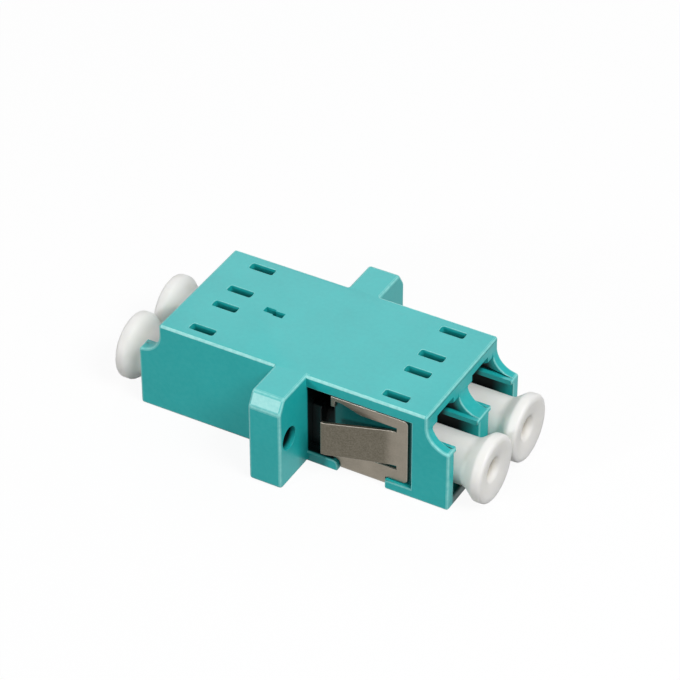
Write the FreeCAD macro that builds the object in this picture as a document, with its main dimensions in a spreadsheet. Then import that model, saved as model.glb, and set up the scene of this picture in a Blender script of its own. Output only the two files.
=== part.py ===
import FreeCAD, Part
import os
import re
import Sketcher

# A two-port fibre adapter with a screw flange, its panel clip, alignment sleeves and dust plugs.
# X runs along the ports, Z is up, and the origin is under the middle of the flange, on the underside.

SIZES = {
    # Ports: a square space for the connector, side rails over it, and the latch channel above them
    "port_pitch": 6.25,
    "port_width": 4.6,
    "rail_reach": 0.4,
    "rail_thickness": 0.45,
    "latch_channel": 2.15,
    # Walls of the moulding
    "floor_wall": 0.95,
    "top_wall": 1.0,
    "side_wall": 0.975,
    "web_thickness": 3.0,
    # Outer form
    "body_length": 30.2,
    "edge_round": 0.2,
    "notch_drop": 1.05,
    # Flange across the middle, with a screw hole in each ear
    "flange_thickness": 3.1,
    "flange_chamfer_width": 0.75,
    "flange_chamfer_drop": 1.25,
    "flange_foot_round": 0.4,
    "screw_spacing": 18.6,
    "screw_margin": 1.5,
    "screw_hole": 2.1,
    "screw_height": 4.6,
    # Teeth in the upper corners of the latch channel and the windows behind them
    "tooth_length": 2.44,
    "tooth_drop": 0.85,
    "tooth_lead": 0.4,
    "tooth_lead_rise": 0.25,
    "latch_window_length": 2.36,
    "latch_window_width": 0.85,
    "latch_window_round": 0.2,
    # Stepped slot in the top, over the wall between the ports
    "key_slot_place": 5.26,
    "key_slot_length": 1.95,
    "key_slot_width": 0.68,
    "key_slot_step": 0.15,
    "key_slot_depth": 0.7,
    # Alignment sleeves and the barrels that hold them
    "sleeve_length": 6.8,
    "sleeve_outside": 1.6,
    "sleeve_inside": 1.25,
    "sleeve_slit": 0.3,
    "sleeve_play": 0.08,
    "sleeve_end_play": 0.1,
    "barrel_wall": 0.62,
    "barrel_reach": 5.2,
    "ferrule_play": 0.075,
    "ferrule_lead": 0.35,
    # Retainers: a plate against the web, held by a nib on the port's floor
    "plate_thickness": 0.9,
    "plate_clearance": 0.05,
    "plate_round": 0.3,
    "nib_rise": 0.15,
    "nib_length": 0.4,
    "nib_width": 2.0,
    # Recess for the clip in each side wall, open downwards where the clip passes under the body
    "recess_end": 11.55,
    "recess_drop": 1.15,
    "recess_sill": 0.95,
    "recess_ledge": 2.5,
    "lug_end": 4.5,
    "lug_round": 0.5,
    # Window from the recess into the port, beside the flange
    "side_window_end": 3.9,
    "side_window_sill": 0.3,
    "side_window_drop": 0.4,
    # Clip of spring sheet
    "clip_sheet": 0.3,
    "clip_set_back": 0.35,
    "clip_inset": 0.1,
    "clip_clearance": 0.1,
    "clip_bend": 0.5,
    "clip_end_gap": 0.5,
    "clip_top_gap": 0.35,
    "clip_corner_round": 0.4,
    "clip_foot_lap": 0.1,
    "clip_foot_height": 2.25,
    # Thin upper arm of each leg: a hook at its free end, a neck, and a slope down to the full arm
    "arm_start": 3.7,
    "arm_height": 1.0,
    "hook_length": 0.4,
    "hook_drop": 1.05,
    "neck_length": 0.62,
    "neck_height": 0.43,
    "neck_slope": 1.88,
    # Spring tongue cut free in each leg and bent outwards
    "tongue_margin": 1.05,
    "tongue_upper_slit": 0.4,
    "tongue_lower_slit": 0.35,
    "tongue_crease": 0.5,
    "tongue_tip": 3.7,
    "tongue_taper": 0.15,
    "tongue_reach": 1.45,
    "tongue_curl": 0.45,
    "tongue_curl_rise": 0.03,
    # Dust plugs: a stem that slips over the barrel, a flare and a round rim
    "stem_gap": 0.15,
    "stem_mouth_wall": 0.2,
    "socket_play": 0.05,
    "socket_end_play": 0.05,
    "socket_depth": 1.25,
    "flare_gap": 0.2,
    "flare_length": 1.2,
    "rim_gap": 0.15,
    "rim_thickness": 1.3,
    "rim_bevel": 0.3,
    "crown_rise": 0.1,
    "crown_margin": 0.5,
    "dish_depth": 0.15,
    "core_diameter": 1.8,
    "core_lip": 0.35,
    "core_web": 1.55,
}

# Sizes that follow from the ones above
FITS = {
    "body_width": "port_pitch + port_width + 2 * side_wall",
    "port_axis_height": "floor_wall + port_width / 2",
    "rail_bottom": "floor_wall + port_width",
    "rail_top": "rail_bottom + rail_thickness",
    "ceiling": "rail_top + latch_channel",
    "body_height": "ceiling + top_wall",
    "notch_radius": "body_height - notch_drop - rail_top",
    "notch_start": "body_length / 2 - notch_radius",
    "tooth_start": "notch_start - tooth_length",
    "flange_span": "screw_spacing + 2 * screw_margin",
    "seat_diameter": "sleeve_outside + 2 * sleeve_play",
    "barrel_diameter": "seat_diameter + 2 * barrel_wall",
    "ferrule_entry": "sleeve_inside + 2 * ferrule_play",
    "recess_depth": "clip_sheet + clip_set_back",
    "recess_top": "body_height - recess_drop",
    "channel_end": "recess_end - recess_ledge",
    "lug_height": "clip_inset + clip_bend + lug_round",
    "leg_end": "recess_end - clip_end_gap",
    "leg_top": "recess_top - clip_top_gap",
    "tongue_root": "leg_end - tongue_margin",
    "tongue_top": "leg_top - arm_height - tongue_upper_slit",
    "tongue_bottom": "clip_foot_height + tongue_lower_slit",
    "neck_end": "arm_start + hook_length + neck_length",
    "stem_diameter": "port_width - 2 * stem_gap",
    "socket_diameter": "barrel_diameter + 2 * socket_play",
    "socket_end": "barrel_reach + socket_end_play",
    "stem_start": "socket_end - socket_depth",
    "stem_lead": "(stem_diameter - socket_diameter) / 2 - stem_mouth_wall",
    "flare_start": "body_length / 2 + flare_gap",
    "rim_back": "flare_start + flare_length",
    "rim_front": "rim_back + rim_thickness",
    "rim_diameter": "port_pitch - rim_gap",
    "crown_diameter": "rim_diameter - 2 * crown_margin",
    "core_end": "socket_end + core_web",
}

# How near two places count as the same, in mm, and the least volume a feature changes, in mm3
SAME_PLACE = 1e-4
LEAST_CHANGE = 1e-6

# The near port lies on the side of negative Y, the far port on the other
PORT_SIDES = ("-", "")

doc = FreeCAD.newDocument("adapter")
sheet = doc.addObject("Spreadsheet::Sheet", "Sizes")
for row, (alias, size) in enumerate((SIZES | FITS).items(), start=1):
    sheet.set(f"A{row}", alias)
    sheet.set(f"B{row}", f"={size}")
    sheet.setAlias(f"B{row}", alias)
doc.recompute()


def bound(text):
    """The same expression with each size's name pointing at the sheet."""
    return re.sub("|".join(rf"\b{name}\b" for name in SIZES | FITS), r"Sizes.\g<0>", text)


def value(text):
    """What an expression comes to now, in millimetres."""
    result = sheet.evalExpression(bound(text).replace("Sizes.", ""))
    return float(getattr(result, "Value", result))


def new_body(label):
    body = doc.addObject("PartDesign::Body", label)
    body.Label = label
    return body


def origin_plane(body, role):
    return next(item for item in body.Origin.OriginFeatures if item.Role == role)


def new_sketch(body, name, role, offset="0"):
    """A sketch on one of the body's own origin planes, moved along that plane's normal."""
    sketch = body.newObject("Sketcher::SketchObject", name)
    sketch.AttachmentSupport = [(origin_plane(body, role), "")]
    sketch.MapMode = "FlatFace"
    sketch.setExpression("AttachmentOffset.Base.z", bound(offset))
    return sketch


def constrain(sketch, rules):
    """Adds all the rules in one go, then ties each one that has an expression to it."""
    first = sketch.ConstraintCount
    sketch.addConstraint([rule for rule, text in rules])
    for index, (rule, text) in enumerate(rules, start=first):
        if text:
            sketch.setExpression(f"Constraints[{index}]", bound(text))


def point_rules(geometry, point, across, up):
    return [(Sketcher.Constraint(kind, -1, 1, geometry, point, value(text)), text)
            for kind, text in (("DistanceX", across), ("DistanceY", up))]


def size_rule(kind, geometry, text):
    return (Sketcher.Constraint(kind, geometry, value(text)), text)


def arc_between(start, end, radius, turn):
    """An arc from start to end that turns left or right, less than half a circle."""
    chord = end - start
    middle = start + chord * 0.5
    height = max(radius ** 2 - (chord.Length / 2) ** 2, 0.0) ** 0.5
    side = FreeCAD.Vector(-chord.y, chord.x, 0).normalize()
    centre = middle + side * (height if turn == "left" else -height)
    circle = Part.Circle(centre, FreeCAD.Vector(0, 0, 1), radius)
    first, last = (start, end) if turn == "left" else (end, start)
    arc = Part.ArcOfCircle(circle, circle.parameter(first), circle.parameter(last))
    return (arc, 1, 2) if turn == "left" else (arc, 2, 1)


def outline(sketch, corners):
    """A closed outline. A corner with a radius and a turn starts an arc to the next corner."""
    points = [FreeCAD.Vector(value(corner[0]), value(corner[1]), 0) for corner in corners]
    edges = []
    for corner, start, end in zip(corners, points, points[1:] + points[:1]):
        if len(corner) == 2:
            shape, first, last = Part.LineSegment(start, end), 1, 2
        else:
            shape, first, last = arc_between(start, end, value(corner[2]), corner[3])
        edges.append((sketch.addGeometry(shape, False), first, last))
    rules = []
    for corner, edge, before in zip(corners, edges, edges[-1:] + edges[:-1]):
        rules.append((Sketcher.Constraint("Coincident", before[0], before[2], edge[0], edge[1]), None))
        rules += point_rules(edge[0], edge[1], corner[0], corner[1])
        if len(corner) > 2:
            rules.append(size_rule("Radius", edge[0], corner[2]))
    constrain(sketch, rules)


def box(sketch, left, right, bottom, top):
    outline(sketch, [(left, bottom), (right, bottom), (right, top), (left, top)])


def round_box(sketch, left, right, bottom, top, radius):
    outline(sketch, [
        (f"{left} + {radius}", bottom), (f"{right} - {radius}", bottom, radius, "left"),
        (right, f"{bottom} + {radius}"), (right, f"{top} - {radius}", radius, "left"),
        (f"{right} - {radius}", top), (f"{left} + {radius}", top, radius, "left"),
        (left, f"{top} - {radius}"), (left, f"{bottom} + {radius}", radius, "left"),
    ])


def circle(sketch, across, up, diameter):
    centre = FreeCAD.Vector(value(across), value(up), 0)
    geometry = sketch.addGeometry(Part.Circle(centre, FreeCAD.Vector(0, 0, 1), value(diameter) / 2), False)
    constrain(sketch, point_rules(geometry, 3, across, up) + [size_rule("Diameter", geometry, diameter)])


def extrude(body, kind, name, sketch, length, backwards=False, both_ways=False):
    """A pad or a pocket. It has to change the body's volume, or its direction is wrong."""
    before = body.Shape.Volume if body.Tip else 0.0
    feature = body.newObject(f"PartDesign::{kind}", name)
    feature.Profile = sketch
    feature.setExpression("Length", bound(length))
    feature.Reversed = backwards
    feature.Midplane = both_ways
    doc.recompute()
    change = body.Shape.Volume - before
    if (change > 0) != (kind == "Pad") or abs(change) < LEAST_CHANGE:
        raise ValueError(f"{name} changes the volume by {change:.4f}")
    return feature


def pad(body, name, sketch, length, backwards=False, both_ways=False):
    return extrude(body, "Pad", name, sketch, length, backwards, both_ways)


def pocket(body, name, sketch, length, backwards=False, both_ways=False):
    return extrude(body, "Pocket", name, sketch, length, backwards, both_ways)


def mirror(body, name, features, role):
    """The same features again on the other side of one of the body's origin planes."""
    feature = body.newObject("PartDesign::Mirrored", name)
    feature.Originals = features
    feature.MirrorPlane = (origin_plane(body, role), [""])
    body.Tip = feature
    doc.recompute()


def finish_edges(body, kind, name, chosen, size_name, size):
    """A fillet or chamfer on the edges that the test chooses."""
    base = body.Tip
    names = [f"Edge{n}" for n, edge in enumerate(base.Shape.Edges, start=1) if chosen(edge)]
    feature = body.newObject(f"PartDesign::{kind}", name)
    feature.Base = (base, names)
    feature.setExpression(size_name, bound(size))
    doc.recompute()


def lies_at(edge, axis, place):
    """Whether the whole edge lies in the plane at this place on the axis."""
    points = edge.discretize(3)
    return all(abs(point[axis] - place) < SAME_PLACE for point in points)


def build_housing():
    body = new_body("housing")
    add_block(body)
    add_flange(body)
    cut_ports(body)
    add_teeth(body)
    cut_top(body)
    add_barrels(body, PORT_SIDES, leftwards=True)
    cut_sleeve_seats(body)
    add_nibs(body)
    cut_clip_recess(body)
    return body


def add_block(body):
    """The long block, seen from the side: each upper end corner is a notch with a round root."""
    sketch = new_sketch(body, "block_side", "XZ_Plane")
    end = "body_length / 2"
    outline(sketch, [
        (f"-{end}", "0"), (end, "0"),
        (end, "rail_top", "notch_radius", "right"), ("notch_start", "rail_top + notch_radius"),
        ("notch_start", "body_height"), ("-notch_start", "body_height"),
        ("-notch_start", "rail_top + notch_radius", "notch_radius", "right"), (f"-{end}", "rail_top"),
    ])
    pad(body, "block", sketch, "body_width", both_ways=True)
    half, top = value("body_width / 2"), value("body_height")
    on_side = lambda edge: lies_at(edge, 1, half) or lies_at(edge, 1, -half)
    along_top = lambda edge: on_side(edge) and lies_at(edge, 2, top)
    finish_edges(body, "Fillet", "block_edges", along_top, "Radius", "edge_round")


def add_flange(body):
    sketch = new_sketch(body, "flange_front", "YZ_Plane")
    edge, shoulder = "flange_span / 2", "(flange_span / 2 - flange_chamfer_width)"
    foot = "(flange_span / 2 - flange_foot_round)"
    outline(sketch, [
        (f"-{foot}", "0"), (foot, "0", "flange_foot_round", "left"),
        (edge, "flange_foot_round"), (edge, "body_height - flange_chamfer_drop"),
        (shoulder, "body_height"), (f"-{shoulder}", "body_height"),
        (f"-{edge}", "body_height - flange_chamfer_drop"),
        (f"-{edge}", "flange_foot_round", "flange_foot_round", "left"),
    ])
    pad(body, "flange", sketch, "flange_thickness", both_ways=True)
    holes = new_sketch(body, "screw_places", "YZ_Plane", "flange_thickness / 2")
    for side in PORT_SIDES:
        circle(holes, f"{side}screw_spacing / 2", "screw_height", "screw_hole")
    pocket(body, "screw_holes", holes, "flange_thickness")


def cut_ports(body):
    """Both ports from each end: a square space, rails over it, and the latch channel above them."""
    depth = "body_length / 2 - web_thickness / 2"
    for end, sign in (("right", ""), ("left", "-")):
        sketch = new_sketch(body, f"ports_{end}_front", "YZ_Plane", f"{sign}body_length / 2")
        for side in PORT_SIDES:
            left = f"({side}port_pitch / 2 - port_width / 2)"
            right = f"({side}port_pitch / 2 + port_width / 2)"
            rail_left, rail_right = f"{left} + rail_reach", f"{right} - rail_reach"
            outline(sketch, [
                (left, "floor_wall"), (right, "floor_wall"), (right, "rail_bottom"),
                (rail_right, "rail_bottom"), (rail_right, "rail_top"), (right, "rail_top"),
                (right, "ceiling"), (left, "ceiling"), (left, "rail_top"),
                (rail_left, "rail_top"), (rail_left, "rail_bottom"), (left, "rail_bottom"),
            ])
        pocket(body, f"ports_{end}", sketch, depth, backwards=(end == "left"))


def add_teeth(body):
    """A tooth in each upper corner of the channel, which the connector's latch springs up behind."""
    low = "ceiling - tooth_drop"
    offset = "(port_width / 2 - latch_window_width / 2)"
    for number, (side, corner) in enumerate((s, c) for s in PORT_SIDES for c in "+-"):
        place = f"-({side}port_pitch / 2 {corner} {offset})"
        sketch = new_sketch(body, f"tooth_side_{number}", "XZ_Plane", place)
        for sign in PORT_SIDES:
            outline(sketch, [
                (f"{sign}tooth_start", "ceiling"), (f"{sign}tooth_start", low),
                (f"{sign}(notch_start - tooth_lead)", low),
                (f"{sign}notch_start", f"{low} + tooth_lead_rise"), (f"{sign}notch_start", "ceiling"),
            ])
        pad(body, f"teeth_{number}", sketch, "latch_window_width", both_ways=True)


def cut_top(body):
    """Eight latch windows through the top wall, and the stepped slot over the middle wall."""
    sketch = new_sketch(body, "latch_window_places", "XY_Plane", "body_height")
    offset = "(port_width / 2 - latch_window_width / 2)"
    left = "tooth_start - latch_window_length"
    for side in PORT_SIDES:
        for corner in "+-":
            middle = f"({side}port_pitch / 2 {corner} {offset})"
            round_box(sketch, left, "tooth_start", f"{middle} - latch_window_width / 2",
                      f"{middle} + latch_window_width / 2", "latch_window_round")
    windows = pocket(body, "latch_windows", sketch, "top_wall")
    mirror(body, "latch_windows_left", [windows], "YZ_Plane")
    slot = new_sketch(body, "key_slot_outline", "XY_Plane", "body_height")
    left, right = "(-key_slot_place - key_slot_length / 2)", "(-key_slot_place + key_slot_length / 2)"
    low, high = "(-key_slot_width / 2)", "(key_slot_width / 2)"
    outline(slot, [
        (left, f"{low} + key_slot_step / 2"), ("-key_slot_place", f"{low} + key_slot_step / 2"),
        ("-key_slot_place", f"{low} - key_slot_step / 2"), (right, f"{low} - key_slot_step / 2"),
        (right, f"{high} - key_slot_step / 2"), ("-key_slot_place", f"{high} - key_slot_step / 2"),
        ("-key_slot_place", f"{high} + key_slot_step / 2"), (left, f"{high} + key_slot_step / 2"),
    ])
    pocket(body, "key_slot", slot, "key_slot_depth")


def add_barrels(body, sides, leftwards):
    """Barrels that stand on one face of the web and carry half of each sleeve."""
    face = "-web_thickness / 2" if leftwards else "web_thickness / 2"
    sketch = new_sketch(body, "barrel_places", "YZ_Plane", face)
    for side in sides:
        circle(sketch, f"{side}port_pitch / 2", "port_axis_height", "barrel_diameter")
    pad(body, "barrels", sketch, "barrel_reach - web_thickness / 2", backwards=leftwards)


def cut_sleeve_seats(body):
    """The sleeves' seats, open towards the retainers, and the ferrules' way in through the barrels."""
    seats = new_sketch(body, "sleeve_seat_places", "YZ_Plane", "web_thickness / 2")
    entries = new_sketch(body, "ferrule_entry_places", "YZ_Plane", "web_thickness / 2")
    for side in PORT_SIDES:
        circle(seats, f"{side}port_pitch / 2", "port_axis_height", "seat_diameter")
        circle(entries, f"{side}port_pitch / 2", "port_axis_height", "ferrule_entry")
    pocket(body, "sleeve_seats", seats, "web_thickness / 2 + sleeve_length / 2 + sleeve_end_play")
    pocket(body, "ferrule_entries", entries, "web_thickness / 2 + barrel_reach")
    lead_in(body, "-barrel_reach")


def lead_in(body, barrel_end):
    """A chamfer that guides the ferrule into the barrel."""
    radius, end = value("ferrule_entry / 2"), value(barrel_end)
    same_radius = lambda edge: abs(getattr(edge.Curve, "Radius", 0) - radius) < SAME_PLACE
    mouth = lambda edge: lies_at(edge, 0, end) and same_radius(edge)
    finish_edges(body, "Chamfer", "ferrule_leads", mouth, "Size", "ferrule_lead")


def add_nibs(body):
    """A ramped nib on each right port's floor, which the retainer's plate snaps past."""
    start = "(web_thickness / 2 + plate_thickness + plate_clearance)"
    for number, side in enumerate(PORT_SIDES):
        sketch = new_sketch(body, f"nib_side_{number}", "XZ_Plane", f"-({side}port_pitch / 2)")
        outline(sketch, [
            (start, "floor_wall"), (f"{start} + nib_length", "floor_wall"), (start, "floor_wall + nib_rise"),
        ])
        pad(body, f"nib_{number}", sketch, "nib_width", both_ways=True)


def cut_clip_recess(body):
    """The clip's recess in both side walls, its channel under the body, and the windows to the ports."""
    start = "flange_thickness / 2"
    for name, sign in (("near", ""), ("far", "-")):
        sketch = new_sketch(body, f"recess_{name}_side", "XZ_Plane", f"{sign}body_width / 2")
        outline(sketch, [
            (start, "lug_height"), ("lug_end - lug_round", "lug_height", "lug_round", "right"),
            ("lug_end", "lug_height - lug_round"), ("lug_end", "0"), ("channel_end", "0"),
            ("channel_end", "recess_sill"), ("recess_end", "recess_sill"),
            ("recess_end", "recess_top"), (start, "recess_top"),
        ])
        pocket(body, f"recess_{name}", sketch, "recess_depth", backwards=(name == "far"))
        window = new_sketch(body, f"window_{name}_side", "XZ_Plane", f"{sign}body_width / 2")
        sill, lintel = "lug_height + side_window_sill", "recess_top - side_window_drop"
        box(window, start, "side_window_end", sill, lintel)
        pocket(body, f"window_{name}", window, "side_wall + rail_reach", backwards=(name == "far"))
    channel = new_sketch(body, "channel_under", "XY_Plane")
    box(channel, "lug_end", "channel_end", "-body_width / 2", "body_width / 2")
    pocket(body, "channel", channel, "clip_sheet + clip_inset", backwards=True)
    round_channel_corners(body)


def round_channel_corners(body):
    """The corners that the clip's bends pass over are rounder than the inside of the bends."""
    across, up = value("body_width / 2 - recess_depth"), value("clip_sheet + clip_inset")
    on_side = lambda edge: lies_at(edge, 1, across) or lies_at(edge, 1, -across)
    under_bend = lambda edge: lies_at(edge, 2, up) and on_side(edge)
    radius = "clip_bend - clip_sheet + clip_clearance"
    finish_edges(body, "Fillet", "channel_corners", under_bend, "Radius", radius)


def build_retainer(label, side):
    """A square plate with the right-hand barrel, pushed in from the right until the nib holds it."""
    body = new_body(label)
    middle, half = f"({side}port_pitch / 2)", "(port_width / 2 - plate_clearance)"
    plate = new_sketch(body, "plate_front", "YZ_Plane", "web_thickness / 2")
    round_box(plate, f"{middle} - {half}", f"{middle} + {half}", f"port_axis_height - {half}",
              f"port_axis_height + {half}", "plate_round")
    pad(body, "plate", plate, "plate_thickness")
    add_barrels(body, (side,), leftwards=False)
    seat = new_sketch(body, "sleeve_seat_place", "YZ_Plane", "web_thickness / 2")
    circle(seat, middle, "port_axis_height", "seat_diameter")
    seat_depth = "sleeve_length / 2 + sleeve_end_play - web_thickness / 2"
    pocket(body, "sleeve_seat", seat, seat_depth, backwards=True)
    entry = new_sketch(body, "ferrule_entry_place", "YZ_Plane", "web_thickness / 2")
    circle(entry, middle, "port_axis_height", "ferrule_entry")
    pocket(body, "ferrule_entry", entry, "barrel_reach - web_thickness / 2", backwards=True)
    lead_in(body, "barrel_reach")
    return body


def build_sleeve(label, side):
    """A split sleeve along the port's axis, with its slit upwards."""
    body = new_body(label)
    ring = new_sketch(body, "ring", "YZ_Plane")
    circle(ring, "0", "0", "sleeve_outside")
    circle(ring, "0", "0", "sleeve_inside")
    pad(body, "tube", ring, "sleeve_length", both_ways=True)
    slit = new_sketch(body, "slit_end", "YZ_Plane")
    box(slit, "-sleeve_slit / 2", "sleeve_slit / 2", "0", "sleeve_outside")
    pocket(body, "slit", slit, "sleeve_length", both_ways=True)
    put_on_port(body, side)
    return body


def put_on_port(body, side, turned=False):
    """Puts a piece that is drawn on its own axis onto a port's axis, turned round for the left end."""
    body.setExpression("Placement.Base.y", bound(f"{side}port_pitch / 2"))
    body.setExpression("Placement.Base.z", bound("port_axis_height"))
    if turned:
        body.Placement.Rotation = FreeCAD.Rotation(FreeCAD.Vector(0, 0, 1), 180)


def build_plug(label, side, turned):
    """A dust plug turned about its axis: hollow at both ends, with a trumpet flare and a round rim."""
    body = new_body(label)
    sketch = new_sketch(body, "plug_half", "XY_Plane")
    stem, socket, core = "stem_diameter / 2", "socket_diameter / 2", "core_diameter / 2"
    rim, rim_foot = "rim_diameter / 2", "(rim_diameter / 2 - rim_bevel)"
    climb = f"({rim_foot} - {stem})"
    flare = f"((flare_length ^ 2 + {climb} ^ 2) / (2 * {climb}))"
    dish = "rim_front + crown_rise - dish_depth"
    outline(sketch, [
        ("stem_start", socket), ("socket_end", socket), ("socket_end", "0"),
        ("core_end", "0"), ("core_end", core), (f"{dish} - core_lip", core), (dish, f"{core} + core_lip"),
        ("rim_front + crown_rise", "crown_diameter / 2"), ("rim_front", rim_foot),
        ("rim_front - rim_bevel", rim), ("rim_back + rim_bevel", rim),
        ("rim_back", rim_foot, flare, "right"), ("flare_start", stem),
        ("stem_start + stem_lead", stem), ("stem_start", f"{stem} - stem_lead"),
    ])
    turn = body.newObject("PartDesign::Revolution", "turned")
    turn.Profile = sketch
    turn.ReferenceAxis = (sketch, ["H_Axis"])
    turn.Angle = 360
    doc.recompute()
    put_on_port(body, side, turned)
    return body


def build_clip():
    """One strip of sheet bent into a U under the body, with a leg and a bent tongue on each side."""
    body = new_body("panel_clip")
    outer = "(body_width / 2 - recess_depth + clip_sheet)"
    inner = "(body_width / 2 - recess_depth)"
    add_clip_web(body, outer, inner)
    leg = add_clip_leg(body, outer)
    tongue = add_tongue(body, outer)
    mirror(body, "far_side", [leg, tongue], "XZ_Plane")
    return body


def add_clip_web(body, outer, inner):
    """The strip under the body and its two bends, up to where the legs start."""
    sketch = new_sketch(body, "web_section", "YZ_Plane", "lug_end + clip_clearance")
    low, top, rise = "clip_inset", "(clip_inset + clip_sheet)", "(clip_inset + clip_bend)"
    inside = "(clip_bend - clip_sheet)"
    outline(sketch, [
        (f"-({outer} - clip_bend)", low), (f"{outer} - clip_bend", low, "clip_bend", "left"),
        (outer, rise), (inner, rise, inside, "right"), (f"{inner} - {inside}", top),
        (f"-({inner} - {inside})", top, inside, "right"), (f"-{inner}", rise),
        (f"-{outer}", rise, "clip_bend", "left"),
    ])
    pad(body, "web", sketch, "channel_end - lug_end - 2 * clip_clearance")


def add_clip_leg(body, outer):
    """A leg, seen from the side: a frame that is open towards the flange, with a thin upper arm."""
    sketch = new_sketch(body, "leg_side", "XZ_Plane", outer)
    rise = "(clip_inset + clip_bend)"
    web_start, web_end = "(lug_end + clip_clearance)", "(channel_end - clip_clearance)"
    sill, shelf = "(recess_sill + clip_clearance)", "lug_height + clip_clearance"
    neck, hook = "leg_top - neck_height", "leg_top - hook_drop"
    outline(sketch, [
        (web_start, rise), (web_end, rise), (web_end, sill),
        ("leg_end - clip_corner_round", sill, "clip_corner_round", "left"),
        ("leg_end", f"{sill} + clip_corner_round"),
        ("leg_end", "leg_top - clip_corner_round", "clip_corner_round", "left"),
        ("leg_end - clip_corner_round", "leg_top"), ("arm_start", "leg_top"),
        ("arm_start", hook), ("arm_start + hook_length", hook), ("arm_start + hook_length", neck),
        ("neck_end", neck), ("neck_end + neck_slope", "leg_top - arm_height"),
        ("tongue_root", "leg_top - arm_height"), ("tongue_root", "clip_foot_height"),
        ("lug_end - lug_round - clip_foot_lap", "clip_foot_height"),
        ("lug_end - lug_round - clip_foot_lap", shelf),
        ("lug_end - lug_round", shelf, "lug_round + clip_clearance", "right"),
    ])
    return pad(body, "leg", sketch, "clip_sheet", backwards=True)


def add_tongue(body, outer):
    """The tongue: creased outwards at its root, straight to the curl at its tip, narrower there."""
    share = "(tongue_crease / (tongue_root - tongue_tip))"
    stations = [
        ("tongue_root", outer, "0"),
        ("tongue_root - tongue_crease", f"{outer} + tongue_reach * {share} / 2", share),
        ("tongue_tip + tongue_curl", "body_width / 2 + tongue_reach - tongue_curl_rise", f"1 - {share}"),
        ("tongue_tip", "body_width / 2 + tongue_reach", "1"),
    ]
    sections = []
    for number, (place_x, skin, along) in enumerate(stations):
        section = new_sketch(body, f"tongue_section_{number}", "YZ_Plane", place_x)
        taper = f"({along}) * tongue_taper"
        low, high = f"tongue_bottom + {taper}", f"tongue_top - {taper}"
        box(section, f"-({skin})", f"-({skin}) + clip_sheet", low, high)
        sections.append(section)
    loft = body.newObject("PartDesign::AdditiveLoft", "tongue")
    loft.Profile = sections[0]
    loft.Sections = sections[1:]
    loft.Ruled = True
    doc.recompute()
    return loft


def build_all():
    pieces = [build_housing(), build_clip()]
    for name, side in (("near", "-"), ("far", "")):
        pieces.append(build_sleeve(f"sleeve_{name}", side))
        pieces.append(build_retainer(f"sleeve_retainer_{name}", side))
        for end, turned in (("right", False), ("left", True)):
            pieces.append(build_plug(f"dust_plug_{name}_{end}", side, turned))
    return pieces


def check(pieces):
    """Every object is up to date, and every piece is one valid solid."""
    for item in doc.Objects:
        if "Invalid" in item.State or "Error" in item.State:
            raise ValueError(f"{item.Label} failed: {item.State}")
    for piece in pieces:
        shape = piece.Shape
        if shape.isNull() or not shape.isValid() or len(shape.Solids) != 1:
            raise ValueError(f"{piece.Label} is not one valid solid")


parts = build_all()
doc.recompute()
check(parts)
os.makedirs("parts", exist_ok=True)
for piece in parts:
    piece.Shape.exportStep(os.path.join("parts", f"{piece.Label}.step"))
    print(f"{piece.Label}: {piece.Shape.Volume:.3f} mm3, {len(piece.Shape.Faces)} faces")
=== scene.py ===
import math

import bmesh
import bpy
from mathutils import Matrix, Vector


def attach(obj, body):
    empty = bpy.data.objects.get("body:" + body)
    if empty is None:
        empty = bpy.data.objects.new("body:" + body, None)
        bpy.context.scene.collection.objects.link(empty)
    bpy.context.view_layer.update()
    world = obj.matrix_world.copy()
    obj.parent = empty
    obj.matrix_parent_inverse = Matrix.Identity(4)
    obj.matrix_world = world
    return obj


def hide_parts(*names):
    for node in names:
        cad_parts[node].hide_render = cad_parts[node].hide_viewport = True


# A two-port fibre adapter: an aqua moulded housing with a screw flange, a clip of spring sheet
# and white dust plugs that hide the ceramic sleeves. X runs along the ports, Y across them and Z
# up, from the middle of the underside. The scene is in metres. Places and sizes on the object
# are written in millimetres, and MM turns them into metres.

MM = 0.001
# The ports' axes and the screw holes in the flange: their distance from the middle and height
PORT_Y, PORT_Z = 3.125, 3.25
SCREW_Y, SCREW_Z = 9.3, 4.6
# Half the housing's length and width without the flange, and its height
BODY_END, BODY_SIDE, BODY_TOP = 15.1, 6.4, 9.15
# The round notch in each end: where it begins along the body, and the height of its centre
NOTCH_START, NOTCH_Z = 12.9, 8.1

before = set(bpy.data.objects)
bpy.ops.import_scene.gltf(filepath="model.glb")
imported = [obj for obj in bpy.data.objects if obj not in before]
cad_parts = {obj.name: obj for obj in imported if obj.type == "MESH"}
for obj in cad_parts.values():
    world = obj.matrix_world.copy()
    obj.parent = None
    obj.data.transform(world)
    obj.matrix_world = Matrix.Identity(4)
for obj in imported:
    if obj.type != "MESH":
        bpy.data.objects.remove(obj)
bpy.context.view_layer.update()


def linear(code):
    """An sRGB hex colour as the linear values that the shaders take."""
    channels = [int(code[i:i + 2], 16) / 255 for i in (1, 3, 5)]
    curve = [c / 12.92 if c <= 0.04045 else ((c + 0.055) / 1.055) ** 2.4 for c in channels]
    return (*curve, 1.0)


def add(tree, kind, inputs=None, **settings):
    """Adds a node to a tree with its settings, and fills or links its inputs by identifier."""
    made = tree.nodes.new(kind)
    for name, setting in settings.items():
        setattr(made, name, setting)
    sockets = {socket.identifier: socket for socket in made.inputs}
    for name, given in (inputs or {}).items():
        if isinstance(given, bpy.types.NodeSocket):
            tree.links.new(given, sockets[name])
        else:
            sockets[name].default_value = given
    return made


def out(made, name):
    """A node's output by identifier."""
    return next(socket for socket in made.outputs if socket.identifier == name)


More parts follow.
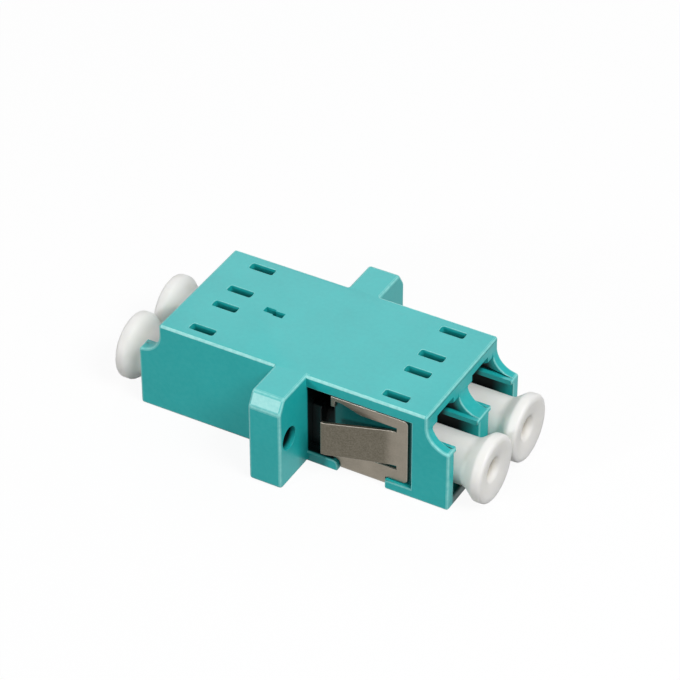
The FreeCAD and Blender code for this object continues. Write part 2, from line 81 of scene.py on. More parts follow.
def new_material(name):
    """An empty material, its node tree, and the place of a point on the piece in metres."""
    material = bpy.data.materials.new(name)
    material.use_nodes = True
    tree = material.node_tree
    tree.nodes.clear()
    return material, tree, out(add(tree, "ShaderNodeTexCoord"), "Object")


def per_metre(size_mm):
    """The scale of a noise whose grains are about this size."""
    return 1 / (size_mm * MM)


def finish_material(tree, shader):
    """Makes the shader the material's surface."""
    add(tree, "ShaderNodeOutputMaterial", {"Surface": out(shader, "BSDF")})


def between(tree, distance, span):
    """A share that grows smoothly from 0 at the span's first place to 1 at its second."""
    none, full = span
    return out(add(tree, "ShaderNodeMapRange", {
        "Value": distance, "From Min": none * MM, "From Max": full * MM,
    }, interpolation_type="SMOOTHSTEP"), "Result")


def all_of(tree, *shares):
    """How far a place lies in all of these at once: the product of the shares."""
    product = shares[0]
    for share in shares[1:]:
        product = out(add(tree, "ShaderNodeMath", {
            "Value": product, "Value_001": share,
        }, operation="MULTIPLY"), "Value")
    return product


def far_from(tree, first, first_mm, second, second_mm):
    """How far a place is, seen along one axis, from a point with these two coordinates."""
    seen = add(tree, "ShaderNodeCombineXYZ", {"X": first, "Y": second})
    return out(add(tree, "ShaderNodeVectorMath", {
        "Vector": out(seen, "Vector"), "Vector_001": (first_mm * MM, second_mm * MM, 0.0),
    }, operation="DISTANCE"), "Value")


def from_middle(tree, place):
    """How far a place is from the object's middle along it and across it, and its height."""
    folded = add(tree, "ShaderNodeVectorMath", {"Vector": place}, operation="ABSOLUTE")
    parts = add(tree, "ShaderNodeSeparateXYZ", {"Vector": out(folded, "Vector")})
    return [out(parts, axis) for axis in "XYZ"]


# Where painted shade darkens the skin inside the moulding. Each pair is the place where the shade
# begins and the place where it is full.
# The ports: in from the end, in through the side wall, up through the floor, down through the
# top wall, and away from the notch's centre
PORT_ALONG, PORT_ACROSS = (BODY_END, NOTCH_START), (6.0, 5.62)
PORT_FLOOR, PORT_CEILING = (0.2, 0.9), (8.8, 8.1)
NOTCH_AROUND = (2.25, 3.1)
# The rails on the ports' side walls, which stay light as far as the light from the mouth reaches
RAIL_ALONG, RAIL_FROM_BELOW, RAIL_FROM_ABOVE = (11.6, 12.4), (5.44, 5.54), (6.12, 6.02)
# The screw holes: in from the rim, and in from the flange's faces
SCREW_AROUND, SCREW_ALONG = (1.13, 1.06), (1.45, 0.9)
# Behind the clip, beside the flange
CLIP_ALONG, CLIP_ACROSS = (4.3, 3.9), (6.36, 6.1)
CLIP_FROM_BELOW, CLIP_FROM_ABOVE = (0.5, 1.0), (8.5, 8.0)
# The ports' sills, in the shade of the plugs' flares, and how dark they get
SILL_ALONG, SILL_ACROSS, SILL_FROM_ABOVE = (14.2, 14.9), (5.7, 5.3), (1.7, 1.3)
SILL_SHADE = 0.8


def shade_inside(tree, place):
    """From 0 on the outside to 1 inside the ports, the screw holes and behind the clip, where shade
    is painted on the skin. The rails near the ports' mouths and the round notches stay light, and
    the sills under the plugs' flares are in between."""
    along, across, height = from_middle(tree, place)
    rail = all_of(
        tree, between(tree, along, RAIL_ALONG), between(tree, height, RAIL_FROM_BELOW),
        between(tree, height, RAIL_FROM_ABOVE),
    )
    off_rail = add(tree, "ShaderNodeMath", {"Value": 1.0, "Value_001": rail}, operation="SUBTRACT")
    darkest = all_of(
        tree, between(tree, along, PORT_ALONG), between(tree, across, PORT_ACROSS),
        between(tree, height, PORT_FLOOR), between(tree, height, PORT_CEILING),
        between(tree, far_from(tree, along, BODY_END, height, NOTCH_Z), NOTCH_AROUND),
        out(off_rail, "Value"),
    )
    screw_holes = all_of(
        tree, between(tree, far_from(tree, across, SCREW_Y, height, SCREW_Z), SCREW_AROUND),
        between(tree, along, SCREW_ALONG),
    )
    beside_clip = all_of(
        tree, between(tree, along, CLIP_ALONG), between(tree, across, CLIP_ACROSS),
        between(tree, height, CLIP_FROM_BELOW), between(tree, height, CLIP_FROM_ABOVE),
    )
    sills = all_of(
        tree, between(tree, height, SILL_FROM_ABOVE), between(tree, across, SILL_ACROSS),
        between(tree, along, SILL_ALONG), SILL_SHADE,
    )
    for other in (screw_holes, beside_clip, sills):
        darkest = out(add(tree, "ShaderNodeMath", {
            "Value": darkest, "Value_001": other,
        }, operation="MAXIMUM"), "Value")
    return darkest


def moulded_aqua():
    """Aqua PBT from a spark-eroded mould. The eye gets a matt skin with a fine even grain,
    slow clouds where the melt flowed, a painted highlight on the edges, and painted shade inside."""
    material, tree, place = new_material("moulded_aqua_pbt")
    clouds = add(tree, "ShaderNodeTexNoise", {
        "Vector": place, "Scale": per_metre(5.0), "Detail": 3.0,
    })
    speckle = add(tree, "ShaderNodeTexNoise", {
        "Vector": place, "Scale": per_metre(0.45), "Detail": 4.0,
    })
    tone = add(tree, "ShaderNodeMix", {
        "Factor_Float": out(clouds, "Fac"), "A_Color": linear("#0DA7A7"),
        "B_Color": linear("#21BAB9"),
    }, data_type="RGBA")
    dust = add(tree, "ShaderNodeMapRange", {
        "Value": out(speckle, "Fac"), "From Min": 0.35, "From Max": 0.75,
        "To Min": 0.0, "To Max": 0.2,
    })
    dusty = add(tree, "ShaderNodeMix", {
        "Factor_Float": out(dust, "Result"), "A_Color": out(tone, "Result_Color"),
        "B_Color": linear("#4CC6C3"),
    }, data_type="RGBA")
    # Painted highlight on the corners, paler in patches as large as the speckle
    corner = add(tree, "ShaderNodeAttribute", attribute_name="corner")
    highlight_patches = add(tree, "ShaderNodeMapRange", {
        "Value": out(speckle, "Fac"), "From Min": 0.3, "From Max": 0.6,
        "To Min": 0.45, "To Max": 0.7,
    })
    highlighted = add(tree, "ShaderNodeMix", {
        "Factor_Float": all_of(tree, out(corner, "Fac"), out(highlight_patches, "Result")),
        "A_Color": out(dusty, "Result_Color"), "B_Color": linear("#A5E6E1"),
    }, data_type="RGBA")
    # Painted shade inside the ports, the screw holes, behind the clip and on the sills
    colour = add(tree, "ShaderNodeMix", {
        "Factor_Float": shade_inside(tree, place), "A_Color": out(highlighted, "Result_Color"),
        "B_Color": linear("#010D0D"),
    }, data_type="RGBA")
    # The real erosion grain is about 0.03 mm. It is drawn at 0.16 mm so that it shows.
    grain = add(tree, "ShaderNodeTexNoise", {
        "Vector": place, "Scale": per_metre(0.16), "Detail": 2.0,
    })
    bump = add(tree, "ShaderNodeBump", {
        "Strength": 0.35, "Distance": 0.012 * MM, "Height": out(grain, "Fac"),
    })
    sheen = add(tree, "ShaderNodeMapRange", {
        "Value": out(speckle, "Fac"), "From Min": 0.3, "From Max": 0.7,
        "To Min": 0.35, "To Max": 0.385,
    })
    shader = add(tree, "ShaderNodeBsdfPrincipled", {
        "Base Color": out(colour, "Result_Color"), "Roughness": out(sheen, "Result"),
        "Normal": out(bump, "Normal"), "IOR": 1.5, "Specular IOR Level": 0.36,
        "Subsurface Weight": 0.06, "Subsurface Radius": (0.35, 0.6, 0.6),
        "Subsurface Scale": 0.6 * MM,
    })
    finish_material(tree, shader)
    return material


# Where the painted shade on the clip's bent tongues begins and where it is darkest, out from the
# object's middle
TONGUE_START, TONGUE_DARK = 6.06, 6.3
# How much slower the rolling lines change along the strip than across it
LINE_STRETCH = 14.0


def rolled_spring_sheet():
    """Rolled stainless spring sheet. The eye gets a dull warm grey with fine rolling lines along
    the strip, soft smudges, a painted highlight on the sheared edges, and painted shade on the bent
    tongues."""
    material, tree, place = new_material("rolled_spring_sheet")
    stretched = add(tree, "ShaderNodeMapping", {
        "Vector": place, "Scale": (1.0, LINE_STRETCH, LINE_STRETCH),
    })
    # Rolling lines are a few thousandths of a millimetre apart. They are drawn at 0.15 mm.
    lines = add(tree, "ShaderNodeTexNoise", {
        "Vector": out(stretched, "Vector"), "Scale": per_metre(2.2), "Detail": 5.0,
        "Roughness": 0.65,
    })
    smudges = add(tree, "ShaderNodeTexNoise", {
        "Vector": place, "Scale": per_metre(1.6), "Detail": 3.0,
    })
    smudged = add(tree, "ShaderNodeMix", {
        "Factor_Float": out(smudges, "Fac"), "A_Color": linear("#7A7469"),
        "B_Color": linear("#9A9285"),
    }, data_type="RGBA")
    _, across, _ = from_middle(tree, place)
    # Painted shade on the tongues, where they are bent out of the flat
    tongue_shade = add(tree, "ShaderNodeMapRange", {
        "Value": across, "From Min": TONGUE_START * MM, "From Max": TONGUE_DARK * MM,
        "To Min": 0.0, "To Max": 0.8,
    })
    shaded_tongues = add(tree, "ShaderNodeMix", {
        "Factor_Float": out(tongue_shade, "Result"), "A_Color": out(smudged, "Result_Color"),
        "B_Color": linear("#585448"),
    }, data_type="RGBA")
    # The sheet's matt grain is a few hundredths of a millimetre. It is drawn at 0.14 mm.
    grain = add(tree, "ShaderNodeTexNoise", {
        "Vector": place, "Scale": per_metre(0.14), "Detail": 2.0,
    })
    pepper = add(tree, "ShaderNodeMapRange", {
        "Value": out(grain, "Fac"), "From Min": 0.35, "From Max": 0.65,
        "To Min": 0.0, "To Max": 0.2,
    })
    peppered = add(tree, "ShaderNodeMix", {
        "Factor_Float": out(pepper, "Result"), "A_Color": out(shaded_tongues, "Result_Color"),
        "B_Color": linear("#A29A8C"),
    }, data_type="RGBA")
    # Painted highlight on the sheared edges, most on their crests
    corner = add(tree, "ShaderNodeAttribute", attribute_name="corner")
    colour = add(tree, "ShaderNodeMix", {
        "Factor_Float": out(corner, "Fac"), "A_Color": out(peppered, "Result_Color"),
        "B_Color": linear("#B6AEA4"),
    }, data_type="RGBA")
    sheen = add(tree, "ShaderNodeMapRange", {
        "Value": out(lines, "Fac"), "From Min": 0.3, "From Max": 0.7,
        "To Min": 0.3, "To Max": 0.46,
    })
    bump = add(tree, "ShaderNodeBump", {
        "Strength": 0.25, "Distance": 0.006 * MM, "Height": out(lines, "Fac"),
    })
    shader = add(tree, "ShaderNodeBsdfPrincipled", {
        "Base Color": out(colour, "Result_Color"), "Metallic": 1.0,
        "Roughness": out(sheen, "Result"), "Normal": out(bump, "Normal"), "Anisotropic": 0.35,
    })
    finish_material(tree, shader)
    return material


def ground_zirconia():
    """Ground zirconia of the sleeves. The eye gets a hard glossy white with faint rings."""
    material, tree, place = new_material("ground_zirconia")
    squeezed = add(tree, "ShaderNodeMapping", {"Vector": place, "Scale": (12.0, 1.0, 1.0)})
    # The grinding marks are thousandths of a millimetre apart. They are drawn at 0.08 mm.
    rings = add(tree, "ShaderNodeTexNoise", {
        "Vector": out(squeezed, "Vector"), "Scale": per_metre(1.0), "Detail": 2.0,
    })
    colour = add(tree, "ShaderNodeMix", {
        "Factor_Float": out(rings, "Fac"), "A_Color": linear("#EFEDE6"),
        "B_Color": linear("#F8F6F0"),
    }, data_type="RGBA")
    sheen = add(tree, "ShaderNodeMapRange", {
        "Value": out(rings, "Fac"), "From Min": 0.3, "From Max": 0.7,
        "To Min": 0.12, "To Max": 0.24,
    })
    shader = add(tree, "ShaderNodeBsdfPrincipled", {
        "Base Color": out(colour, "Result_Color"), "Roughness": out(sheen, "Result"), "IOR": 2.1,
    })
    finish_material(tree, shader)
    return material


# The painted shade in the hole in a plug's outer end: out from the plug's axis, and in from the
# end
HOLE_AROUND, HOLE_ALONG = (1.15, 0.9), (17.6, 16.6)


def milky_polyethylene():
    """Soft LDPE of the dust plugs. The eye gets a milky white that light enters, a waxy sheen,
    faint waves where the skin has shrunk, and painted shade in the hole at the outer end."""
    material, tree, place = new_material("milky_ldpe")
    waves = add(tree, "ShaderNodeTexNoise", {
        "Vector": place, "Scale": per_metre(1.8), "Detail": 2.0,
    })
    scuffs = add(tree, "ShaderNodeTexNoise", {
        "Vector": place, "Scale": per_metre(0.4), "Detail": 4.0,
    })
    milk = add(tree, "ShaderNodeMix", {
        "Factor_Float": out(waves, "Fac"), "A_Color": linear("#EDEBE5"),
        "B_Color": linear("#F5F3EE"),
    }, data_type="RGBA")
    # Painted shade in the hole at the outer end, where less light comes through the thick stem
    along, across, height = from_middle(tree, place)
    off_axis = far_from(tree, across, PORT_Y, height, PORT_Z)
    hole_shade = all_of(tree, between(tree, off_axis, HOLE_AROUND), between(tree, along, HOLE_ALONG))
    colour = add(tree, "ShaderNodeMix", {
        "Factor_Float": hole_shade, "A_Color": out(milk, "Result_Color"), "B_Color": linear("#CCC7BC"),
    }, data_type="RGBA")
    sheen = add(tree, "ShaderNodeMapRange", {
        "Value": out(scuffs, "Fac"), "From Min": 0.3, "From Max": 0.7,
        "To Min": 0.42, "To Max": 0.55,
    })
    relief = add(tree, "ShaderNodeMath", {
        "Value": out(waves, "Fac"), "Value_001": out(scuffs, "Fac"),
    }, operation="ADD")
    bump = add(tree, "ShaderNodeBump", {
        "Strength": 0.3, "Distance": 0.02 * MM, "Height": out(relief, "Value"),
    })
    shader = add(tree, "ShaderNodeBsdfPrincipled", {
        "Base Color": out(colour, "Result_Color"), "Roughness": out(sheen, "Result"),
        "Normal": out(bump, "Normal"), "IOR": 1.51, "Specular IOR Level": 0.4,
        "Subsurface Weight": 0.8, "Subsurface Radius": (1.0, 1.0, 0.92),
        "Subsurface Scale": 1.4 * MM,
    })
    finish_material(tree, shader)
    return material


AQUA = moulded_aqua()
STEEL = rolled_spring_sheet()
ZIRCONIA = ground_zirconia()
POLYETHYLENE = milky_polyethylene()

# The moulding's corners, as the mould leaves them, the smaller ones round its mouths and windows,
# the retainers' and screw holes' fine ones, the clip's sheared edges and the sleeves' ground ones
CORNER_ROUND = 0.24 * MM
MOUTH_ROUND = 0.13 * MM
WINDOW_ROUND = 0.06 * MM
FINE_ROUND = 0.05 * MM
SHEARED_ROUND = 0.05 * MM
GROUND_ROUND = 0.03 * MM
# Faces that meet at more than SHARP have a corner between them, at less than FLAT they are one
SHARP = math.radians(25)
FLAT = math.radians(0.3)
SAME_POINT = 1e-6
# The painted highlight that the attribute "corner" gives the crest of a rounded corner and its two
# flanks
CREST, FLANK = 1.0, 0.5


def merged_copy(node, name, cuts=()):
    """A copy of a CAD node with its loose triangles joined and its flat faces made whole. Cuts are
    places across the object where the flat faces stay divided."""
    mesh = bpy.data.meshes.new(name)
    edit = bmesh.new()
    edit.from_mesh(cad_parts[node].data)
    bmesh.ops.remove_doubles(edit, verts=edit.verts, dist=SAME_POINT)
    for cut in cuts:
        divided = bmesh.ops.bisect_plane(
            edit, geom=[*edit.verts, *edit.edges, *edit.faces], dist=SAME_POINT,
            plane_co=(0, cut * MM, 0), plane_no=(0, 1, 0),
        )
        for part in divided["geom_cut"]:
            if isinstance(part, bmesh.types.BMEdge):
                part.seam = True
    bmesh.ops.dissolve_limit(
        edit, angle_limit=FLAT, verts=edit.verts, edges=edit.edges, delimit={"SEAM"},
    )
    edit.to_mesh(mesh)
    edit.free()
    piece = bpy.data.objects.new(name, mesh)
    bpy.context.scene.collection.objects.link(piece)
    return piece


def round_corners(piece, width, share, highlight=lambda face: 0.0):
    """Rounds the piece's corners. The share says how much of the width each corner gets, and the
    last argument how much painted highlight a face gets that was a corner in the CAD node."""
    edit = bmesh.new()
    edit.from_mesh(piece.data)
    weight = edit.edges.layers.float.new("bevel_weight_edge")
    for face in edit.faces:
        face.smooth = True
    for edge in edit.edges:
        corner = len(edge.link_faces) == 2 and edge.calc_face_angle_signed() > SHARP
        edge.smooth = len(edge.link_faces) == 2 and edge.calc_face_angle() < SHARP
        edge[weight] = share(edge) if corner else 0.0
    edit.to_mesh(piece.data)
    edit.free()
    bevel = piece.modifiers.new("corners", "BEVEL")
    bevel.limit_method = "WEIGHT"
    bevel.width = width
    bevel.segments = 3
    bevel.loop_slide = False
    bevel.use_clamp_overlap = False
    bevel.harden_normals = True
    # The rounded faces get the second material slot, so that mark_corners can tell them apart
    piece.data.materials.append(None)
    piece.data.materials.append(None)
    bevel.material = 1
    apply_modifiers(piece)
    mark_corners(piece, highlight)


def apply_modifiers(piece):
    """Turns the piece's evaluated shape into its own mesh."""
    shape = piece.evaluated_get(bpy.context.evaluated_depsgraph_get())
    mesh = bpy.data.meshes.new_from_object(shape)
    mesh.name = piece.name
    piece.modifiers.clear()
    piece.data = mesh


def mark_corners(piece, highlight):
    """Writes the attribute "corner", a painted highlight: most on the crest of a rounded corner,
    less beside the flats. The rims of the screw holes get none."""
    edit = bmesh.new()
    edit.from_mesh(piece.data)
    bmesh.ops.remove_doubles(edit, verts=edit.verts, dist=SAME_POINT)
    corner = edit.faces.layers.float.new("corner")
    for face in edit.faces:
        if in_screw_hole(face.calc_center_median() / MM):
            continue
        if face.material_index == 1:
            beside = {other.material_index for edge in face.edges for other in edge.link_faces}
            face[corner] = CREST if beside == {1} else FLANK
        else:
            face[corner] = highlight(face)
    for face in edit.faces:
        face.material_index = 0
    edit.to_mesh(piece.data)
    edit.free()


def dress(piece, node, body, material):
    """The finished piece stands for its CAD node and moves with its body."""
    piece.data.materials.clear()
    piece.data.materials.append(material)
    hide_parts(node)
    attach(piece, body)


# Where the housing's edges lie, which tells how much each is rounded. What is NEAR a place counts
# as at it, and a pair of places holds what is between them.
NEAR = 0.01
# How far the rim of a screw hole reaches from the hole's centre
SCREW_RIM = 1.15
# Edges further out than the first are on the outside, and those in the top that are less far out
# than the second are the key slot's
OUTSIDE_Y, KEY_SLOT_Y = 5.6, 0.6
# The space inside the ports, the top of their rails, and where the lips beside the notch begin
PORT_SIDE_Y, PORT_HEIGHTS = 5.5, (0.9, 8.2)
RAIL_TOP, LIP_START = 6.0, 13.05
# The recess for the clip in each side wall
RECESS_X, RECESS_Y, RECESS_Z = (1.56, 11.7), (5.6, 6.41), (0.02, 8.05)
# Where the rounding of the flange's edges begins to run out into the body
RUN_OUT_Y = 6.5
# The two long top corners: how far out and up they lie, and how much painted highlight they get
LONG_CORNER_Y, LONG_CORNER_Z, LONG_CORNER_HIGHLIGHT = (6.2, 6.4), 8.95, 1.35
# The chamfers of the flange's ears: how far out and up they begin. They and the long corners are
# told from the flats beside them by how much of their normal points up.
CHAMFER_Y, CHAMFER_Z, CHAMFER_SLANT = 9.8, 7.5, (0.4, 0.99)
LEVEL = 0.999


def within(place, span):
    """Whether a place lies between the two of a span."""
    return span[0] < place < span[1]


def both_at(edge, axis, place):
    """Whether both ends of an edge lie at this distance from the middle on an axis."""
    return all(abs(abs(getattr(vert.co, axis) / MM) - place) < NEAR for vert in edge.verts)


def in_screw_hole(at):
    """Whether a place lies in one of the two screw holes or on its rim."""
    return math.hypot(abs(at.y) - SCREW_Y, at.z - SCREW_Z) < SCREW_RIM


def housing_share(edge):
    """Full corners outside, smaller ones round the ports' mouths, the recess, the windows and the
    screw holes, and none on the key slot and deep in the ports."""
    at = (edge.verts[0].co + edge.verts[1].co) / 2 / MM
    along, across = abs(at.x), abs(at.y)
    mouth = MOUTH_ROUND / CORNER_ROUND
    if in_screw_hole(at):
        return FINE_ROUND / CORNER_ROUND
    if both_at(edge, "z", BODY_TOP) and along < NOTCH_START and across < OUTSIDE_Y:
        return 0.0 if across < KEY_SLOT_Y else WINDOW_ROUND / CORNER_ROUND
    if across < PORT_SIDE_Y and within(at.z, PORT_HEIGHTS):
        on_lip = along > LIP_START and not both_at(edge, "z", RAIL_TOP)
        return mouth if both_at(edge, "x", BODY_END) or on_lip else 0.0
    if within(at.x, RECESS_X) and within(across, RECESS_Y) and within(at.z, RECESS_Z):
        return mouth if both_at(edge, "y", BODY_SIDE) else 0.0
    return 1.0 if across > OUTSIDE_Y or along > NOTCH_START or at.z < NEAR else 0.0


def highlight_before(face):
    """How much painted highlight a face of the housing gets that was a corner before: the two long
    top corners most, and the flange's chamfers as much as the corners rounded here."""
    at = face.calc_center_median() / MM
    across = abs(at.y)
    if within(across, LONG_CORNER_Y) and at.z > LONG_CORNER_Z and abs(face.normal.z) < LEVEL:
        return LONG_CORNER_HIGHLIGHT
    slants = within(face.normal.z, CHAMFER_SLANT)
    return CREST if across > CHAMFER_Y and at.z > CHAMFER_Z and slants else 0.0


housing = merged_copy("housing", "aqua_housing", (-SCREW_Y, -RUN_OUT_Y, RUN_OUT_Y, SCREW_Y))
round_corners(housing, CORNER_ROUND, housing_share, highlight_before)
dress(housing, "housing", "root", AQUA)

clip = merged_copy("panel_clip", "spring_clip")
round_corners(clip, SHEARED_ROUND, lambda edge: 1.0)
dress(clip, "panel_clip", "root", STEEL)

for side in ("near", "far"):
    retainer = merged_copy(f"sleeve_retainer_{side}", f"aqua_retainer_{side}")
    round_corners(retainer, FINE_ROUND, lambda edge: 1.0)
    dress(retainer, f"sleeve_retainer_{side}", "root", AQUA)
    sleeve = merged_copy(f"sleeve_{side}", f"split_sleeve_{side}")
    round_corners(sleeve, GROUND_ROUND, lambda edge: 1.0)
    dress(sleeve, f"sleeve_{side}", "root", ZIRCONIA)


def new_socket(tree, name, kind, in_out="INPUT"):
    """A socket on the outside of a geometry tree, and the identifier a modifier knows it by."""
    return tree.interface.new_socket(name=name, in_out=in_out, socket_type=kind).identifier


# How far from the top and bottom of a plug the ridge of its parting line reaches round it
RIDGE_REACH = math.radians(1.5)


def lathe_tree():
    """Turns half a section about the X axis. The section is a chain of points along the axis and
    out from it, and each corner is first rounded by its own radius."""
    tree = bpy.data.node_groups.new("lathe", "GeometryNodeTree")
    sockets = {name: new_socket(tree, name, kind) for name, kind in (
        ("Section", "NodeSocketGeometry"), ("Sides", "NodeSocketInt"),
        ("Corner steps", "NodeSocketInt"), ("Centre", "NodeSocketVector"),
        ("Facing", "NodeSocketVector"), ("Parting ridge", "NodeSocketFloat"),
        ("Ridge above", "NodeSocketFloat"), ("Material", "NodeSocketMaterial"),
    )}
    result = new_socket(tree, "Mesh", "NodeSocketGeometry", "OUTPUT")
    given = add(tree, "NodeGroupInput")
    sides, facing = out(given, sockets["Sides"]), out(given, sockets["Facing"])

    chain = add(tree, "GeometryNodeMeshToCurve", {"Mesh": out(given, sockets["Section"])})
    corner = add(tree, "GeometryNodeInputNamedAttribute", {"Name": "corner"}, data_type="FLOAT")
    rounded = out(add(tree, "GeometryNodeFilletCurve", {
        "Curve": out(chain, "Curve"), "Count": out(given, sockets["Corner steps"]),
        "Radius": out(corner, "Attribute"), "Limit Radius": True,
    }, mode="POLY"), "Curve")

    # A grid with a row for each point of the section and a column for each turn of the lathe
    points = add(tree, "GeometryNodeAttributeDomainSize", {"Geometry": rounded}, component="CURVE")
    columns = out(add(tree, "ShaderNodeMath", {
        "Value": sides, "Value_001": 1.0,
    }, operation="ADD"), "Value")
    grid = add(tree, "GeometryNodeMeshGrid", {
        "Vertices X": out(points, "Point Count"), "Vertices Y": columns,
    })
    number = out(add(tree, "GeometryNodeInputIndex"), "Index")
    share = add(tree, "ShaderNodeMath", {
        "Value": number, "Value_001": columns,
    }, operation="DIVIDE")
    row = add(tree, "ShaderNodeMath", {"Value": out(share, "Value")}, operation="FLOOR")
    column = add(tree, "ShaderNodeMath", {
        "Value": number, "Value_001": columns,
    }, operation="MODULO")
    turn = add(tree, "ShaderNodeMath", {
        "Value": out(column, "Value"), "Value_001": sides,
    }, operation="DIVIDE")
    angle = out(add(tree, "ShaderNodeMath", {
        "Value": out(turn, "Value"), "Value_001": math.tau,
    }, operation="MULTIPLY"), "Value")
    place = add(tree, "GeometryNodeInputPosition")
    sampled = add(tree, "GeometryNodeSampleIndex", {
        "Geometry": rounded, "Value": out(place, "Position"), "Index": out(row, "Value"),
    }, data_type="FLOAT_VECTOR")
    section = add(tree, "ShaderNodeSeparateXYZ", {"Vector": out(sampled, "Value")})

    # The mould's parting line: a low ridge at the top and bottom of the outside
    sine, cosine = (out(add(tree, "ShaderNodeMath", {"Value": angle}, operation=kind), "Value")
                    for kind in ("SINE", "COSINE"))
    upright = add(tree, "ShaderNodeMath", {"Value": cosine}, operation="ABSOLUTE")
    at_seam = add(tree, "ShaderNodeMath", {
        "Value": out(upright, "Value"), "Value_001": math.cos(RIDGE_REACH),
    }, operation="GREATER_THAN")
    outside = add(tree, "ShaderNodeMath", {
        "Value": out(section, "Y"), "Value_001": out(given, sockets["Ridge above"]),
    }, operation="GREATER_THAN")
    on_seam = all_of(tree, out(at_seam, "Value"), out(outside, "Value"))
    radius = out(add(tree, "ShaderNodeMath", {
        "Value": on_seam, "Value_001": out(given, sockets["Parting ridge"]),
        "Value_002": out(section, "Y"),
    }, operation="MULTIPLY_ADD"), "Value")

    across = add(tree, "ShaderNodeMath", {"Value": radius, "Value_001": sine}, operation="MULTIPLY")
    up = add(tree, "ShaderNodeMath", {"Value": radius, "Value_001": cosine}, operation="MULTIPLY")
    turned = add(tree, "ShaderNodeCombineXYZ", {
        "X": out(section, "X"), "Y": out(across, "Value"), "Z": out(up, "Value"),
    })
    placed = add(tree, "ShaderNodeVectorMath", {
        "Vector": out(turned, "Vector"), "Vector_001": facing,
        "Vector_002": out(given, sockets["Centre"]),
    }, operation="MULTIPLY_ADD")
    shell = add(tree, "GeometryNodeSetPosition", {
        "Geometry": out(grid, "Mesh"), "Position": out(placed, "Vector"),
    })
    closed = add(tree, "GeometryNodeMergeByDistance", {
        "Geometry": out(shell, "Geometry"), "Distance": SAME_POINT,
    })
    smooth = add(tree, "GeometryNodeSetShadeSmooth", {"Geometry": out(closed, "Geometry")})
    real = add(tree, "GeometryNodeRealizeInstances", {"Geometry": out(smooth, "Geometry")})
    finished = add(tree, "GeometryNodeSetMaterial", {
        "Geometry": out(real, "Geometry"), "Material": out(given, sockets["Material"]),
    })
    add(tree, "NodeGroupOutput", {result: out(finished, "Geometry")})
    return tree, sockets


# Half a dust plug's section: along the port from the flange's middle, out from the port's axis,
# and the radius that rounds the corner. It runs from the socket that slips over the barrel,
# outside along the stem and the flare, round the rim, and in through the hole at the outer end.
PLUG_SECTION = [
    (5.3, 0.0, 0.0), (5.3, 1.55, 0.1), (4.05, 1.55, 0.06), (4.05, 1.9, 0.1), (4.4, 2.15, 0.3),
    (15.82, 2.15, 1.1), (16.98, 3.06, 0.5), (17.86, 3.06, 0.3), (17.9, 2.6, 0.3),
    (17.64, 1.14, 0.35), (17.15, 0.9, 0.3), (15.6, 0.86, 0.8), (6.85, 0.82, 0.1), (6.85, 0.0, 0.0),
]
LATHE, LATHE_SOCKETS = lathe_tree()


def turned_plug(name, side, facing):
    """A dust plug on a port's axis. Side is -1 for the near port and 1 for the far one, and facing
    is 1 at the right end and -1 at the left."""
    mesh = bpy.data.meshes.new(name)
    mesh.from_pydata([(x * MM, r * MM, 0) for x, r, _ in PLUG_SECTION],
                     [(n, n + 1) for n in range(len(PLUG_SECTION) - 1)], [])
    corner = mesh.attributes.new("corner", "FLOAT", "POINT")
    corner.data.foreach_set("value", [size * MM for _, _, size in PLUG_SECTION])
    plug = bpy.data.objects.new(name, mesh)
    bpy.context.scene.collection.objects.link(plug)
    lathe = plug.modifiers.new("lathe", "NODES")
    lathe.node_group = LATHE
    for socket, setting in (
        ("Sides", 120), ("Corner steps", 7), ("Centre", (0.0, side * PORT_Y * MM, PORT_Z * MM)),
        ("Facing", (facing, facing, 1.0)), ("Parting ridge", 0.012 * MM), ("Ridge above", 1.7 * MM),
        ("Material", POLYETHYLENE),
    ):
        lathe[LATHE_SOCKETS[socket]] = setting
    apply_modifiers(plug)
    return plug


for name, side in (("near", -1), ("far", 1)):
    for end, facing in (("right", 1.0), ("left", -1.0)):
        node = f"dust_plug_{name}_{end}"
        plug = turned_plug(f"plug_{name}_{end}", side, facing)
        dress(plug, node, node, POLYETHYLENE)

# Half the floor's side, and how much of its card shines by itself where it is seen, which keeps it
# nearly white round the object's shadow
FLOOR_HALF = 1.5
CARD_GLOW = 0.93
# Each soft lamp's place and width in metres, and its power in watts
LAMPS = (
    ("back_softbox", (-0.163, 0.285, 0.262), 0.16, 0.25),
    ("front_softbox", (-0.165, -0.37, 0.135), 0.05, 0.58),
    ("right_softbox", (0.264, -0.085, 0.323), 0.2, 1.3),
)
# The camera as it was fitted to the photograph: lens in mm, place in metres, turn in degrees
CAMERA_LENS = 169.1
CAMERA_PLACE = (0.10751, -0.18811, 0.17290)
CAMERA_TURN = (52.751, 0.099, 29.399)


def studio():
    """A pale floor that keeps the object's shadow, soft lamps, and a white room."""
    floor_mesh = bpy.data.meshes.new("pale_floor")
    edit = bmesh.new()
    bmesh.ops.create_grid(edit, x_segments=1, y_segments=1, size=FLOOR_HALF)
    edit.to_mesh(floor_mesh)
    edit.free()
    floor = bpy.data.objects.new("pale_floor", floor_mesh)
    bpy.context.scene.collection.objects.link(floor)
    floor_mesh.materials.append(floor_card())
    white_room()
    for name, place, width, power in LAMPS:
        lamp(name, place, width, power)


def seen_directly(tree):
    """1 for rays from the camera and for what shines or shows through, 0 for bounced light."""
    path = add(tree, "ShaderNodeLightPath")
    shiny = add(tree, "ShaderNodeMath", {
        "Value": out(path, "Is Glossy Ray"), "Value_001": out(path, "Is Transmission Ray"),
    }, operation="MAXIMUM")
    return out(add(tree, "ShaderNodeMath", {
        "Value": out(path, "Is Camera Ray"), "Value_001": out(shiny, "Value"),
    }, operation="MAXIMUM"), "Value")


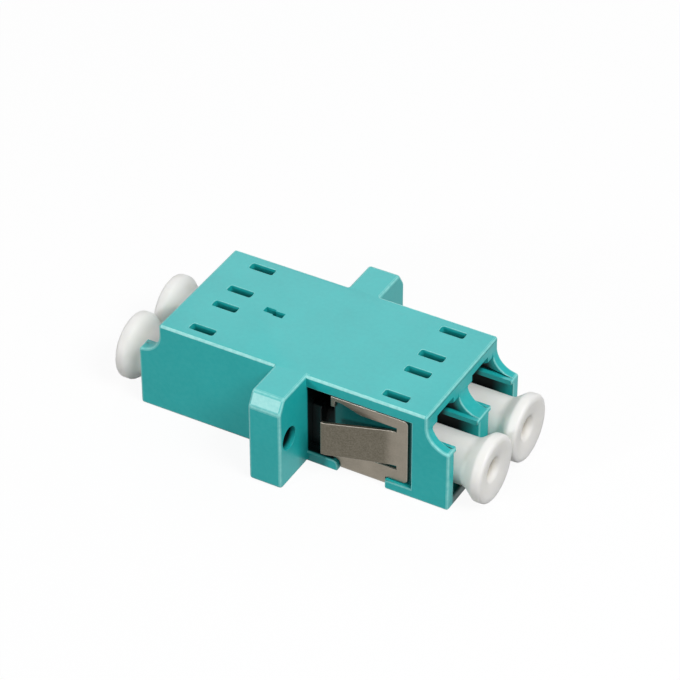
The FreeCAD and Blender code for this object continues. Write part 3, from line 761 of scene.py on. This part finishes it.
def floor_card():
    """White card: it shows nearly white with the object's shadow on it, and bounces less light."""
    material, tree, place = new_material("white_card")
    fibres = add(tree, "ShaderNodeTexNoise", {
        "Vector": place, "Scale": per_metre(0.8), "Detail": 3.0,
    })
    tone = add(tree, "ShaderNodeMix", {
        "Factor_Float": out(fibres, "Fac"), "A_Color": linear("#F8F8F8"),
        "B_Color": linear("#FDFDFD"),
    }, data_type="RGBA")
    card = add(tree, "ShaderNodeBsdfDiffuse", {"Color": out(tone, "Result_Color")})
    glow = add(tree, "ShaderNodeEmission", {"Color": linear("#FFFFFF"), "Strength": 1.0})
    seen = add(tree, "ShaderNodeMixShader", {
        "Fac": CARD_GLOW, "Shader": out(card, "BSDF"), "Shader_001": out(glow, "Emission"),
    })
    bounced = add(tree, "ShaderNodeBsdfDiffuse", {"Color": linear("#858585")})
    both = add(tree, "ShaderNodeMixShader", {
        "Fac": seen_directly(tree), "Shader": out(bounced, "BSDF"),
        "Shader_001": out(seen, "Shader"),
    })
    add(tree, "ShaderNodeOutputMaterial", {"Surface": out(both, "Shader")})
    return material


def white_room():
    """White walls where they are seen, and a weaker light from them on the object."""
    world = bpy.data.worlds.new("white_room")
    world.use_nodes = True
    tree = world.node_tree
    tree.nodes.clear()
    seen = add(tree, "ShaderNodeBackground", {"Color": linear("#FFFFFF"), "Strength": 1.0})
    fill = add(tree, "ShaderNodeBackground", {"Color": linear("#F9FAFF"), "Strength": 0.25})
    both = add(tree, "ShaderNodeMixShader", {
        "Fac": seen_directly(tree), "Shader": out(fill, "Background"),
        "Shader_001": out(seen, "Background"),
    })
    add(tree, "ShaderNodeOutputWorld", {"Surface": out(both, "Shader")})
    bpy.context.scene.world = world


def lamp(name, place, width, power):
    """A round soft lamp that is turned towards the object's foot."""
    light = bpy.data.lights.new(name, "AREA")
    light.shape = "DISK"
    light.size = width
    light.energy = power
    thing = bpy.data.objects.new(name, light)
    bpy.context.scene.collection.objects.link(thing)
    thing.location = place
    thing.rotation_euler = (-Vector(place)).to_track_quat("-Z", "Y").to_euler()


def camera():
    """The photograph's viewing angle: a long lens, from the front right and above."""
    lens = bpy.data.cameras.new("camera")
    lens.lens = CAMERA_LENS
    lens.clip_start = 0.01
    thing = bpy.data.objects.new("camera", lens)
    bpy.context.scene.collection.objects.link(thing)
    thing.location = CAMERA_PLACE
    thing.rotation_euler = [math.radians(angle) for angle in CAMERA_TURN]
    bpy.context.scene.camera = thing


studio()
camera()
bpy.context.scene.view_settings.view_transform = "Standard"
